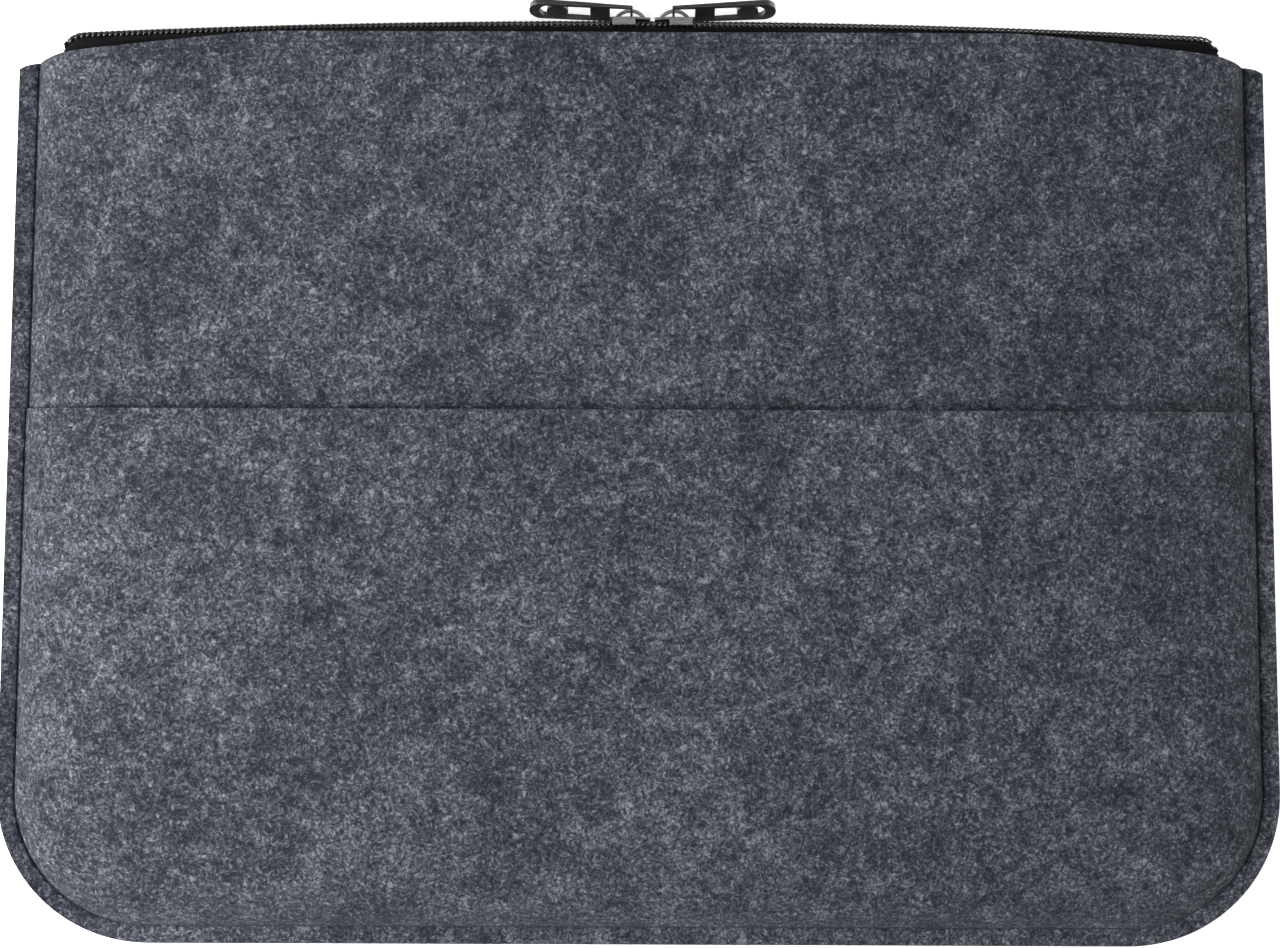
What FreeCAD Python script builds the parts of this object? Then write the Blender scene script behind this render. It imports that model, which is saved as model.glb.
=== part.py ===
"""Felt laptop sleeve: two felt panels, an outer pocket, and a coil zip with two sliders.

The sleeve lies on its back panel. X runs along the zip, +Y from the closed bottom edge
towards the zip, +Z from the back panel to the pocket. The origin is on the back face.
"""
import FreeCAD
import Part
import Sketcher
import math
import os

from FreeCAD import Placement, Rotation, Vector

OUT = "parts"
os.makedirs(OUT, exist_ok=True)
doc = FreeCAD.newDocument("laptop_sleeve")


# ---------------------------------------------------------------- driving dimensions, mm and degrees

SIZES = {
    # outline of the felt, seen from the front
    "full_width": 360.0,       # across the widest part, just above the bottom corners
    "bottom_edge": 128.6,      # from the origin down to the closed edge
    "bottom_radius": 42.2,     # the two large bottom corners
    "side_taper": 1.6,         # degrees that each side leans in towards the zip
    "mouth_edge": 126.5,       # from the origin up to the front panel's zip edge
    "flat_half": 98.0,         # half of the straight stretch of the zip edge
    "shoulder_radius": 150.0,  # where the zip edge starts to fall
    "shoulder_slope": 6.0,     # degrees
    "corner_start": 160.0,     # where the fall to the side edge begins
    "corner_slope": 11.5,      # degrees
    "back_edge_drop": 1.25,    # the back panel is this much shorter at the zip
    "pocket_height": 149.7,    # the pocket's raw edge above the closed edge
    # felt and the fullness of the front
    "felt": 2.5,
    "mouth_gap": 10.0,         # between the panels' inner faces at the zip
    "pocket_gap": 0.5,
    "wall_angle": 62.0,        # degrees, of the front's rise behind the seam
    "wall_foot": 9.6,          # from the cut edge to the foot of the front's rise
    "crown_inset": 38.0,       # where the crown of the front becomes flat
    "crown_rise": 1.8,
    # stitching
    "seam_inset": 5.2,
    "seam_pitch": 3.8,
    "zip_seam_inset": 3.0,
    "zip_seam_pitch": 3.2,
    "seam_stop": 2.5,          # the perimeter seam ends this far below the zip edge's corner
    "stitch_gap": 0.9,
    "thread": 0.35,
    "thread_wide": 0.7,
    "groove_wide": 1.2,
    "groove_deep": 0.4,
    # zip chain: an arc about a far centre, rolled a little away from the front
    "chain_radius": 3300.0,
    "chain_rise": 0.95,        # chain's middle above the front panel's zip edge
    "chain_roll": 8.0,         # degrees
    "chain_half": 157.0,       # half of the chain's length
    "tape": 0.5,
    "tape_flap": 13.0,
    "tape_parting": 0.45,
    "coil_inner": 0.5,
    "coil_outer": 3.0,
    "coil_high": 1.7,
    "cord": 0.6,
    "row_at": 2.35,            # sewing row that holds the coil down
    "row_wide": 0.5,
    "row_deep": 0.2,
    "tack_long": 0.9,
    # sliders and pulls
    "meeting": 3.1,            # where the two noses meet
    "nose_gap": 1.1,
    "body_long": 10.7,
    "tail_half": 4.1,
    "nose_half": 3.3,
    "flange_long": 6.5,
    "flange_thick": 0.8,
    "top_under": 2.1,          # underside of the top plate above the tape's middle
    "top_thick": 0.7,
    "slot_half": 0.37,
    "base_thick": 0.9,
    "base_half": 3.6,
    "base_nose_half": 2.64,
    "post_half": 0.3,
    "post_long": 2.6,
    "post_inset": 0.5,         # from the nose's end to the post
    "bridge_wide": 1.2,
    "bridge_outer": 4.9,
    "bridge_inner": 4.05,
    "bridge_centre": 1.3,
    "bridge_shift": 0.3,
    "bar_high": 3.86,          # pull's bar above the tape's middle
    "bar_radius": 0.4,
    "pull_wide": 6.8,
    "pull_long": 28.6,
    "pull_thick": 1.9,
    "pull_rail": 0.95,
    "pull_lean": 17.0,         # degrees that the pull leans off the slider's own plane
    "pull_lift": 4.0,          # degrees that its free end stands off the chain
    "bridge_play": 0.15,
    "eye_start": 0.3,
    "eye_end": 6.0,
    "slot_start": 11.5,
    "disc_at": 20.7,
    "disc_radius": 3.0,
    "rim_hole_end": 25.7,
    "rim_hole_radius": 2.5,
    # shapes that only trim or join others
    "over": 40.0,              # how far a trimming shape reaches past the felt
    "joined": 0.2,             # overlap of shapes that are fused
    "pull_cutter": 4.0,        # thickness of the shapes that trim the pull
}

sheet = doc.addObject("Spreadsheet::Sheet", "sheet")
for row, (name, value) in enumerate(SIZES.items(), start=1):
    sheet.set(f"A{row}", name)
    sheet.set(f"B{row}", str(value))
    sheet.setAlias(f"B{row}", name)
doc.recompute()


def size(name):
    return float(sheet.get(name))


def sheet_value(expression):
    """The number that an expression on the sheet stands for."""
    return float(sheet.evalExpression(expression))


def add(kind, name, **bound):
    """A document object whose properties are bound to expressions on the sheet."""
    made = doc.addObject(kind, name)
    for prop, expression in bound.items():
        made.setExpression(prop.replace("__", "."), expression)
    return made


def bind_place(made, x="0", y="0", z="0"):
    for axis, expression in zip("xyz", (x, y, z)):
        made.setExpression(f"Placement.Base.{axis}", expression)
    return made


def fuse(name, *shapes):
    made = doc.addObject("Part::MultiFuse", name)
    made.Shapes = list(shapes)
    return made


def common(name, base, tool):
    made = doc.addObject("Part::Common", name)
    made.Base, made.Tool = base, tool
    return made


def cut(name, base, tool):
    made = doc.addObject("Part::Cut", name)
    made.Base, made.Tool = base, tool
    return made


def box(name, long, deep, high, x, y, z):
    made = add("Part::Box", name, Length=long, Width=deep, Height=high)
    return bind_place(made, x, y, z)


# ---------------------------------------------------------------- outline of the felt

def outline_sketch(name, top):
    """Straight tapering sides, a straight bottom and two large corners, closed at height top."""
    made = doc.addObject("Sketcher::SketchObject", name)
    half, radius, low = size("full_width") / 2, size("bottom_radius"), -size("bottom_edge")
    lean = math.radians(size("side_taper"))
    up = Vector(0, 0, 1)
    right, left = Vector(half - radius, low + radius, 0), Vector(radius - half, low + radius, 0)
    side = right + Vector(math.cos(lean), math.sin(lean), 0) * radius
    high = Vector(side.x - (top - side.y) * math.tan(lean), top, 0)
    mirrored = Vector(-high.x, high.y, 0)
    line, ring = Part.LineSegment, Part.Circle
    bottom, corner_r, side_r, lid, side_l, corner_l = made.addGeometry([
        line(Vector(left.x, low, 0), Vector(right.x, low, 0)),
        Part.ArcOfCircle(ring(right, up, radius), -math.pi / 2, lean),
        line(side, high),
        line(high, mirrored),
        line(mirrored, Vector(-side.x, side.y, 0)),
        Part.ArcOfCircle(ring(left, up, radius), math.pi - lean, 1.5 * math.pi),
    ])
    rules = [
        ("Tangent", bottom, 2, corner_r, 1), ("Tangent", corner_r, 2, side_r, 1),
        ("Coincident", side_r, 2, lid, 1), ("Coincident", lid, 2, side_l, 1),
        ("Tangent", side_l, 2, corner_l, 1), ("Tangent", corner_l, 2, bottom, 1),
        ("Equal", corner_r, corner_l),
        ("Symmetric", bottom, 1, bottom, 2, -2), ("Symmetric", lid, 1, lid, 2, -2),
    ]
    for rule in rules:
        made.addConstraint(Sketcher.Constraint(*rule))
    driven = [
        (("Radius", corner_r, radius), "sheet.bottom_radius"),
        (("DistanceX", corner_l, 3, corner_r, 3, 2 * right.x),
         "sheet.full_width - 2 * sheet.bottom_radius"),
        (("DistanceY", bottom, 1, -1, 1, -low), "sheet.bottom_edge"),
        (("DistanceY", -1, 1, lid, 1, top), None),
        (("Angle", side_r, math.pi / 2 + lean), "90 + sheet.side_taper"),
    ]
    for rule, expression in driven:
        index = made.addConstraint(Sketcher.Constraint(*rule))
        if expression:
            made.setExpression(f"Constraints[{index}]", expression)
    return made


open_outline = outline_sketch("open_outline", size("mouth_edge") + size("over"))
crown_outline = outline_sketch("crown_outline", size("mouth_edge"))


def inset(name, source, distance, height="0"):
    """The outline moved in by a distance and lifted to a height."""
    made = add("Part::Offset2D", name, Value=f"-({distance})")
    made.Source = source
    made.Join = "Intersection"
    bind_place(made, z=height)
    return made


def prism(name, source, low, high):
    made = add("Part::Extrusion", name, LengthFwd=f"({high}) - ({low})")
    made.Base = source
    made.DirMode = "Custom"
    made.Dir = Vector(0, 0, 1)
    made.Solid = True
    bind_place(made, z=low)
    return made


def loft(name, *wires):
    made = doc.addObject("Part::Loft", name)
    made.Sections = list(wires)
    made.Solid = True
    made.Ruled = True
    return made


def mouth_limit(name, drop):
    """Everything below the zip edge, which falls away in two slopes towards each side."""
    half = doc.addObject("Sketcher::SketchObject", name + "_half")
    radius, slope = size("shoulder_radius"), math.radians(size("shoulder_slope"))
    flat = Vector(size("flat_half"), size("mouth_edge"), 0)
    centre = flat - Vector(0, radius, 0)
    bend = centre + Vector(math.sin(slope), math.cos(slope), 0) * radius
    start = size("corner_start")
    fall = Vector(start, bend.y - (start - bend.x) * math.tan(slope), 0)
    past = size("full_width") / 2 + size("over")
    low = -size("bottom_edge") - size("over")
    side = Vector(past, fall.y - (past - start) * math.tan(math.radians(size("corner_slope"))), 0)
    line = Part.LineSegment
    arc = Part.ArcOfCircle(Part.Circle(centre, Vector(0, 0, 1), radius), math.pi / 2 - slope, math.pi / 2)
    middle, flat_top, shoulder, slope_top, corner, edge, under = half.addGeometry([
        line(Vector(0, low, 0), Vector(0, flat.y, 0)),
        line(Vector(0, flat.y, 0), flat),
        arc,
        line(bend, fall),
        line(fall, side),
        line(side, Vector(past, low, 0)),
        line(Vector(past, low, 0), Vector(0, low, 0)),
    ])
    for rule in [
        ("Coincident", middle, 2, flat_top, 1), ("Tangent", flat_top, 2, shoulder, 2),
        ("Tangent", shoulder, 1, slope_top, 1), ("Coincident", slope_top, 2, corner, 1),
        ("Coincident", corner, 2, edge, 1), ("Coincident", edge, 2, under, 1),
        ("Coincident", under, 2, middle, 1), ("PointOnObject", middle, 1, -2),
        ("Vertical", middle), ("Vertical", edge), ("Horizontal", flat_top), ("Horizontal", under),
        ("DistanceY", under, 1, -1, 1, -low), ("DistanceX", -1, 1, under, 1, past),
    ]:
        half.addConstraint(Sketcher.Constraint(*rule))
    for rule, expression in [
        (("DistanceX", -1, 1, flat_top, 2, flat.x), "sheet.flat_half"),
        (("DistanceY", -1, 1, flat_top, 2, flat.y), "sheet.mouth_edge"),
        (("Radius", shoulder, radius), "sheet.shoulder_radius"),
        (("Angle", slope_top, -slope), "-sheet.shoulder_slope"),
        (("DistanceX", -1, 1, slope_top, 2, start), "sheet.corner_start"),
    ]:
        index = half.addConstraint(Sketcher.Constraint(*rule))
        half.setExpression(f"Constraints[{index}]", expression)
    right = prism(name + "_right", half, "-sheet.over", "sheet.over")
    left = doc.addObject("Part::Mirroring", name + "_left")
    left.Source = right
    left.Normal = Vector(1, 0, 0)
    both = fuse(name, right, left)
    return bind_place(both, y=f"-({drop})")


# ---------------------------------------------------------------- the three felt panels

TOP_OF_BACK = "sheet.felt"
FLANGE = "2 * sheet.felt"
WALL = "tan(sheet.wall_angle * 1deg)"
ACROSS = "sin(sheet.wall_angle * 1deg)"


def mound(name, foot, base, shoulder):
    """Solid of the raised front: a steep wall behind the seam, then a shallow crown.

    foot is the wall's inset at the height of the front's flange, base is the height that
    the solid starts from, and shoulder is the height where the wall meets the crown.
    """
    low = f"{base} - 1"
    wall_low = inset(name + "_wall_low", open_outline, f"{foot} + ({low} - {FLANGE}) / {WALL}", low)
    turn = f"{foot} + ({shoulder} - {FLANGE}) / {WALL}"
    wall_high = inset(name + "_wall_high", open_outline, turn, shoulder)
    crown_low = inset(name + "_crown_low", crown_outline, turn, f"{shoulder} - sheet.joined")
    crown_high = inset(name + "_crown_high", crown_outline, "sheet.crown_inset",
                       f"{shoulder} + sheet.crown_rise")
    wall = loft(name + "_wall", wall_low, wall_high)
    crown = loft(name + "_crown", crown_low, crown_high)
    return fuse(name, wall, crown)


front_edge = mouth_limit("front_edge", "0")
back_edge = mouth_limit("back_edge", "sheet.back_edge_drop")

MOUTH_TOP = "sheet.felt + sheet.mouth_gap"
front_outer = mound("front_outer", "sheet.wall_foot", FLANGE, f"{MOUTH_TOP} + sheet.felt")
front_inner = mound("front_inner", f"sheet.wall_foot + sheet.felt / {ACROSS}", TOP_OF_BACK, MOUTH_TOP)
pocket_inner = mound("pocket_inner", f"sheet.wall_foot - sheet.pocket_gap / {ACROSS}", FLANGE,
                     f"{MOUTH_TOP} + sheet.felt + sheet.pocket_gap")
pocket_outer = mound("pocket_outer", f"sheet.wall_foot - (sheet.pocket_gap + sheet.felt) / {ACROSS}",
                     f"{FLANGE} + sheet.felt", f"{MOUTH_TOP} + 2 * sheet.felt + sheet.pocket_gap")


def seam_groove(name, floor, top):
    """The line that the perimeter stitches pull into the felt."""
    outer = inset(name + "_outer", open_outline, "sheet.seam_inset - sheet.groove_wide / 2")
    inner = inset(name + "_inner", open_outline, "sheet.seam_inset + sheet.groove_wide / 2")
    return cut(name, prism(name + "_wide", outer, floor, top), prism(name + "_narrow", inner, floor, top))


def zip_groove(name, edge_drop, floor, top):
    """The line that the zip's stitches pull into a panel, along its zip edge."""
    line = "sheet.zip_seam_inset"
    upper = mouth_limit(name + "_upper", f"{edge_drop} + {line} - sheet.groove_wide / 2")
    lower = mouth_limit(name + "_lower", f"{edge_drop} + {line} + sheet.groove_wide / 2")
    band = cut(name + "_band", upper, lower)
    reach = box(name + "_reach", "2 * sheet.chain_half", "2 * sheet.over", f"({top}) - ({floor})",
                "-sheet.chain_half", "sheet.mouth_edge - sheet.over", floor)
    return common(name, band, reach)


back_blank = prism("back_blank", open_outline, "0", TOP_OF_BACK)
back_shape = common("back_shape", back_blank, back_edge)
back_cuts = fuse("back_cuts", seam_groove("back_seam_groove", "-1", "sheet.groove_deep"),
                 zip_groove("back_zip_groove", "sheet.back_edge_drop", "-1", "sheet.groove_deep"))
back_panel = cut("back_panel", back_shape, back_cuts)

POCKET_EDGE = "(sheet.pocket_height - sheet.bottom_edge)"
front_blank = fuse("front_blank", prism("front_flange", open_outline, TOP_OF_BACK, FLANGE), front_outer)
front_shell = cut("front_shell", front_blank, front_inner)
front_level = prism("front_level", open_outline, TOP_OF_BACK, "sheet.over")
front_shape = common("front_shape", common("front_trimmed", front_shell, front_edge), front_level)
WHOLE_WIDTH = "(sheet.full_width + 2 * sheet.over)"
open_part = box("open_part", WHOLE_WIDTH, "sheet.full_width", "sheet.over",
                f"-{WHOLE_WIDTH} / 2", POCKET_EDGE, "0")
front_seam_groove = common("front_seam_groove_open",
                           seam_groove("front_seam_groove", f"{FLANGE} - sheet.groove_deep",
                                       f"{FLANGE} + sheet.groove_deep"),
                           open_part)
OUTER_MOUTH = f"({MOUTH_TOP} + sheet.felt)"
front_cuts = fuse("front_cuts", front_seam_groove,
                  zip_groove("front_zip_groove", "0", f"{OUTER_MOUTH} - sheet.groove_deep",
                             f"{OUTER_MOUTH} + sheet.crown_rise"))
front_panel = cut("front_panel", front_shape, front_cuts)

TOP_FLANGE = f"({FLANGE} + sheet.felt)"
pocket_blank = fuse("pocket_blank", prism("pocket_flange", open_outline, FLANGE, TOP_FLANGE), pocket_outer)
pocket_shell = cut("pocket_shell", pocket_blank, pocket_inner)
pocket_level = prism("pocket_level", open_outline, FLANGE, "sheet.over")
covered_part = box("covered_part", WHOLE_WIDTH, "sheet.full_width", "sheet.over",
                   f"-{WHOLE_WIDTH} / 2", f"{POCKET_EDGE} - sheet.full_width", "0")
pocket_shape = common("pocket_shape", common("pocket_trimmed", pocket_shell, covered_part), pocket_level)
pocket_panel = cut("pocket_panel", pocket_shape,
                   seam_groove("pocket_seam_groove", f"{TOP_FLANGE} - sheet.groove_deep",
                               f"{TOP_FLANGE} + sheet.groove_deep"))


# ---------------------------------------------------------------- zip chain

CHAIN_Y = "(sheet.mouth_edge + sheet.chain_rise)"
CHAIN_Z = "(sheet.felt + sheet.mouth_gap / 2)"
ROLL = "sheet.chain_roll * 1deg"
HALF_TAPE = "sheet.tape / 2"


def chain_section(name, points):
    """Closed section across the chain. Each point is (height above the tape's middle, distance
    from the chain's middle towards the front), both rolled with the chain."""
    made = doc.addObject("Sketcher::SketchObject", name)
    spots = [Vector(sheet_value(high), sheet_value(across), 0) for high, across in points]
    edges = made.addGeometry([Part.LineSegment(a, b) for a, b in zip(spots, spots[1:] + spots[:1])])
    for this, following in zip(edges, edges[1:] + edges[:1]):
        made.addConstraint(Sketcher.Constraint("Coincident", this, 2, following, 1))
    for edge, spot, (high, across) in zip(edges, spots, points):
        for kind, value, expression in (("DistanceX", spot.x, high), ("DistanceY", spot.y, across)):
            index = made.addConstraint(Sketcher.Constraint(kind, -1, 1, edge, 1, value))
            made.setExpression(f"Constraints[{index}]", expression)
    bind_place(made, y=CHAIN_Y, z=CHAIN_Z)
    across_the_chain = Rotation(Vector(1, 1, 1), 120)
    made.Placement.Rotation = Rotation(Vector(1, 0, 0), -size("chain_roll")).multiply(across_the_chain)
    return made


def along_chain(name, section, half="sheet.chain_half"):
    """A section carried along the chain's arc."""
    made = add("Part::Revolution", name, Angle=f"2 * ({half}) / sheet.chain_radius * 180 / pi",
               Base__y=f"{CHAIN_Y} - sheet.chain_radius")
    made.Source = section
    made.Axis = Vector(0, 0, 1)
    made.Symmetric = True
    made.Solid = True
    return made


def from_mouth(level, reach):
    """The point of the chain's section at a true height above its middle and a true depth below it."""
    return (f"-({reach}) * cos({ROLL}) - ({level}) * sin({ROLL})",
            f"-({reach}) * sin({ROLL}) + ({level}) * cos({ROLL})")


def tape_points(front):
    """Flat under the coil, then turned down against the panel's inner face."""
    sign = "1" if front else "-1"
    outer = f"{sign} * sheet.mouth_gap / 2"
    inner = f"{sign} * (sheet.mouth_gap / 2 - sheet.tape)"
    parting = f"{sign} * sheet.tape_parting"
    return [
        (f"-{HALF_TAPE}", parting),
        (f"-{HALF_TAPE}", f"(({inner}) - {HALF_TAPE} * sin({ROLL})) / cos({ROLL})"),
        from_mouth(inner, "sheet.tape_flap"),
        from_mouth(outer, "sheet.tape_flap"),
        (HALF_TAPE, f"(({outer}) + {HALF_TAPE} * sin({ROLL})) / cos({ROLL})"),
        (HALF_TAPE, parting),
    ]


def rectangle(low, high, near, far):
    return [(low, near), (high, near), (high, far), (low, far)]


COIL_TOP = f"({HALF_TAPE} + sheet.coil_high)"
COIL_MIDDLE = f"({HALF_TAPE} + sheet.coil_high / 2)"
CORD_AT = "((sheet.coil_inner + sheet.coil_outer) / 2)"
for side, sign in (("front", ""), ("back", "-")):
    along_chain(f"zip_tape_{side}", chain_section(f"tape_section_{side}", tape_points(side == "front")))

    def across(low, high, near, far):
        return rectangle(low, high, f"{sign}({near})", f"{sign}({far})")

    row = across(f"{COIL_TOP} - sheet.row_deep", COIL_TOP, "sheet.row_at - sheet.row_wide / 2",
                 "sheet.row_at + sheet.row_wide / 2")
    bore = across(f"{COIL_MIDDLE} - sheet.cord / 2", f"{COIL_MIDDLE} + sheet.cord / 2",
                  f"{CORD_AT} - sheet.cord / 2", f"{CORD_AT} + sheet.cord / 2")
    band = across(HALF_TAPE, COIL_TOP, "sheet.coil_inner", "sheet.coil_outer")
    coil_band = along_chain(f"coil_band_{side}", chain_section(f"coil_section_{side}", band))
    cord = along_chain(f"coil_core_cord_{side}", chain_section(f"cord_section_{side}", bore))
    stitching = along_chain(f"coil_stitching_{side}", chain_section(f"row_section_{side}", row))
    cord_bore = along_chain(f"cord_bore_{side}", chain_section(f"bore_section_{side}", bore))
    row_bed = along_chain(f"row_bed_{side}", chain_section(f"bed_section_{side}", row))
    hollow = fuse(f"coil_hollow_{side}", cord_bore, row_bed)
    cut(f"zip_coil_{side}", coil_band, hollow)


def on_chain(distance):
    """Placement at a distance along the chain: X along it, Y out of its face, Z to the front."""
    far_centre = Vector(0, sheet_value(CHAIN_Y) - size("chain_radius"), 0)
    angle = -math.degrees(distance / size("chain_radius"))
    turn = Placement(Vector(0, 0, 0), Rotation(Vector(0, 0, 1), angle), far_centre)
    middle = Placement(Vector(0, sheet_value(CHAIN_Y), sheet_value(CHAIN_Z)),
                       Rotation(Vector(1, 0, 0), -size("chain_roll")))
    return turn.multiply(middle)


for side, sign in (("left", -1), ("right", 1)):
    tack = add("Part::Box", f"zip_end_tack_{side}", Length="sheet.tack_long", Width="sheet.coil_high",
               Height="2 * sheet.coil_outer")
    near_end = 0 if sign > 0 else -size("tack_long")
    corner = Placement(Vector(near_end, size("tape") / 2, -size("coil_outer")), Rotation())
    tack.Placement = on_chain(sign * size("chain_half")).multiply(corner)


# ---------------------------------------------------------------- sliders and pulls

TOP_FACE = "(sheet.top_under + sheet.top_thick)"
HALF_BODY = "sheet.body_long / 2"


def slider(name, placement):
    """Cast slider, nose towards +X: top and bottom plates on one post, side flanges, a bridge."""
    def plate(part, tail, half, low, thick):
        """Plan of a plate: straight at the tail, drawn in at the nose."""
        made = box(f"{name}_{part}", "sheet.flange_long", thick, f"2 * {half}",
                   f"-{HALF_BODY}", low, f"-{half}")
        nose = add("Part::Wedge", f"{name}_{part}_nose", Xmin="0", Xmax=thick, X2min="0", X2max=thick,
                   Ymin="0", Ymax="sheet.body_long - sheet.flange_long", Zmin=f"-{half}", Zmax=half,
                   Z2min=f"-{tail}", Z2max=tail)
        nose.Placement = Placement(Vector(size("flange_long") - size("body_long") / 2, sheet_value(low), 0),
                                   Rotation(Vector(1, 1, 0), 180))
        return [made, nose]

    body = plate("top_plate", "sheet.nose_half", "sheet.tail_half", "sheet.top_under", "sheet.top_thick")
    body += plate("base_plate", "sheet.base_nose_half", "sheet.base_half",
                  "-(sheet.slot_half + sheet.base_thick)", "sheet.base_thick")
    for flank, at in (("front", "sheet.tail_half - sheet.flange_thick"), ("back", "-sheet.tail_half")):
        body.append(box(f"{name}_flange_{flank}", "sheet.flange_long", "sheet.top_under - sheet.slot_half",
                        "sheet.flange_thick", f"-{HALF_BODY}", "sheet.slot_half", at))
    body.append(box(f"{name}_post", "sheet.post_long", "sheet.top_under + sheet.slot_half",
                    "2 * sheet.post_half", f"{HALF_BODY} - sheet.post_long - sheet.post_inset",
                    "-sheet.slot_half", "-sheet.post_half"))

    def disc(part, radius):
        made = add("Part::Cylinder", f"{name}_{part}", Radius=radius, Height="sheet.bridge_wide")
        return bind_place(made, "-sheet.bridge_shift", "sheet.bridge_centre", "-sheet.bridge_wide / 2")

    arch_outer = disc("arch_outer", "sheet.bridge_outer")
    arch_inner = disc("arch_inner", "sheet.bridge_inner")
    above = box(f"{name}_above", "2 * sheet.bridge_outer", "sheet.bridge_outer", "sheet.bridge_wide",
                "-sheet.bridge_outer - sheet.bridge_shift", f"{TOP_FACE} - sheet.joined",
                "-sheet.bridge_wide / 2")
    body.append(common(f"{name}_bridge", cut(f"{name}_arch", arch_outer, arch_inner), above))
    made = fuse(name, *body)
    made.Placement = placement
    return made


def pull_tab(name, placement):
    """Flat cast pull along -X: an eye around the bridge, a slot, a disc and a rounded rim."""
    reach = "(sheet.pull_long - sheet.pull_wide / 2)"
    half = "sheet.pull_wide / 2"
    deep, low = "sheet.pull_cutter", "-sheet.pull_cutter / 2"
    blade = add("Part::Wedge", f"{name}_blade", Xmin="-sheet.bar_radius", Xmax="sheet.bar_radius",
                X2min="-sheet.pull_thick / 2", X2max="sheet.pull_thick / 2",
                Ymin="0", Ymax="sheet.pull_long", Zmin=f"-{half}", Zmax=half, Z2min=f"-{half}", Z2max=half)
    blade.Placement = Placement(Vector(0, 0, 0), Rotation(Vector(0, 0, 1), 90))
    plan_box = box(f"{name}_plan_box", f"{reach} + sheet.bar_radius", deep, "sheet.pull_wide",
                   f"-{reach}", low, f"-{half}")

    def post(part, radius, at):
        made = add("Part::Cylinder", f"{name}_{part}", Radius=radius, Height=deep)
        made.Placement = Placement(Vector(0, size("pull_cutter") / 2, 0), Rotation(Vector(1, 0, 0), 90))
        made.setExpression("Placement.Base.x", at)
        return made

    plan = fuse(f"{name}_plan", plan_box, post("far_end", half, f"-{reach}"))
    bar = add("Part::Cylinder", f"{name}_bar", Radius="sheet.bar_radius", Height="sheet.pull_wide")
    bind_place(bar, z=f"-{half}")
    solid = fuse(f"{name}_solid", common(f"{name}_outer", blade, plan), bar)
    open_wide = "(sheet.pull_wide - 2 * sheet.pull_rail)"
    eye = box(f"{name}_eye", "sheet.eye_end - sheet.eye_start", deep, open_wide, "-sheet.eye_end", low,
              f"-{open_wide} / 2")
    disc = post("disc", "sheet.disc_radius", "-sheet.disc_at")
    slot_box = box(f"{name}_slot_box", "sheet.disc_at - sheet.slot_start", deep, open_wide,
                   "-sheet.disc_at", low, f"-{open_wide} / 2")
    slot = cut(f"{name}_slot", slot_box, disc)
    disc_again = post("disc_again", "sheet.disc_radius", "-sheet.disc_at")
    rim_round = post("rim_round", "sheet.rim_hole_radius", "sheet.rim_hole_radius - sheet.rim_hole_end")
    beyond_disc = box(f"{name}_beyond", "sheet.pull_wide", deep, "sheet.pull_wide",
                      "-sheet.disc_at - sheet.pull_wide", low, f"-{half}")
    rim_hole = cut(f"{name}_rim_hole", common(f"{name}_rim_side", rim_round, beyond_disc), disc_again)
    made = cut(name, solid, fuse(f"{name}_holes", eye, slot, rim_hole))
    made.Placement = placement
    return made


def leaning(slider_place, side):
    """The pull's placement: its bar crosses under the bridge, its front edge leans outwards."""
    lean = math.radians(size("pull_lean"))
    along_bar = (size("bridge_wide") / 2 + size("bridge_play")) / math.cos(lean) + size("pull_rail")
    to_middle = size("pull_wide") / 2 - along_bar
    centre = Vector(0, size("bar_high") + to_middle * math.sin(lean), to_middle * math.cos(lean))
    rolled = Placement(centre, Rotation(Vector(1, 0, 0), -size("pull_lean")))
    lifted = Placement(Vector(), Rotation(Vector(0, 0, 1), side * size("pull_lift")))
    turned = Placement(Vector(), Rotation(Vector(0, 1, 0), 0 if side < 0 else 180))
    return slider_place.multiply(rolled).multiply(lifted).multiply(turned)


offset = size("nose_gap") / 2 + size("body_long") / 2
for side, sign in (("left", -1), ("right", 1)):
    middle = on_chain(size("meeting") + sign * offset)
    facing = Placement(Vector(), Rotation(Vector(0, 1, 0), 0 if sign < 0 else 180))
    slider(f"slider_body_{side}", middle.multiply(facing))
    pull_tab(f"pull_tab_{side}", leaning(middle, sign))


# ---------------------------------------------------------------- stitching

doc.recompute()


def stitch_row(name, spots, pitch):
    """Separate stitches of flat-laid thread. A spot is a stitch's middle, on the felt, and its heading."""
    long, wide, thick = pitch - size("stitch_gap"), size("thread_wide"), size("thread")
    row = []
    for middle, heading in spots:
        stitch = Part.makeBox(long, wide, thick, Vector(-long / 2, -wide / 2, 0))
        stitch.Placement = Placement(middle, Rotation(Vector(1, 0, 0), heading))
        row.append(stitch)
    made = doc.addObject("Part::Feature", name)
    made.Shape = Part.makeCompound(row)
    return made


def mouth_height(x):
    """Height of the front panel's zip edge at a distance from the middle."""
    out = abs(x) - size("flat_half")
    radius, slope = size("shoulder_radius"), math.radians(size("shoulder_slope"))
    bend = radius * math.sin(slope)
    if out <= 0:
        return size("mouth_edge")
    if out <= bend:
        return size("mouth_edge") - radius + math.sqrt(radius ** 2 - out ** 2)
    return size("mouth_edge") - radius * (1 - math.cos(slope)) - (out - bend) * math.tan(slope)


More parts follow.
